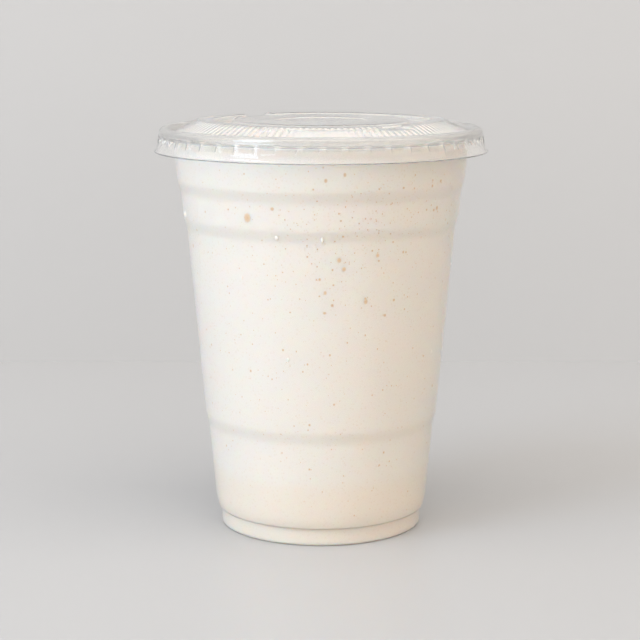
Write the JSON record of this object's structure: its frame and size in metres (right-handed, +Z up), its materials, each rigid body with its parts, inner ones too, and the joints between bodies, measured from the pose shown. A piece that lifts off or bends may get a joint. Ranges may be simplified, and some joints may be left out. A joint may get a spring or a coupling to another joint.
{
  "type": "vanilla milkshake",
  "caption": "Vanilla milkshake filling a clear tapered plastic takeaway cup, under a flat press-on lid with a raised ribbed middle.",
  "frame": {"origin": "centre of the foot ring, on the surface the cup stands on", "axes": "+Z up along the cup's axis, front of the cup towards -Y, +X to the right of the front"},
  "size_m": [0.102, 0.102, 0.126],
  "materials": {
    "cup_plastic": "clear, smooth and glossy",
    "milkshake": "opaque cream drink, satin, with fine bubbles",
    "lid_plastic": "clear, smooth and glossy"
  },
  "bodies": {
    "root": {"cup": "cup_plastic", "milkshake": "milkshake", "lid": "lid_plastic"}
  },
  "joints": []
}
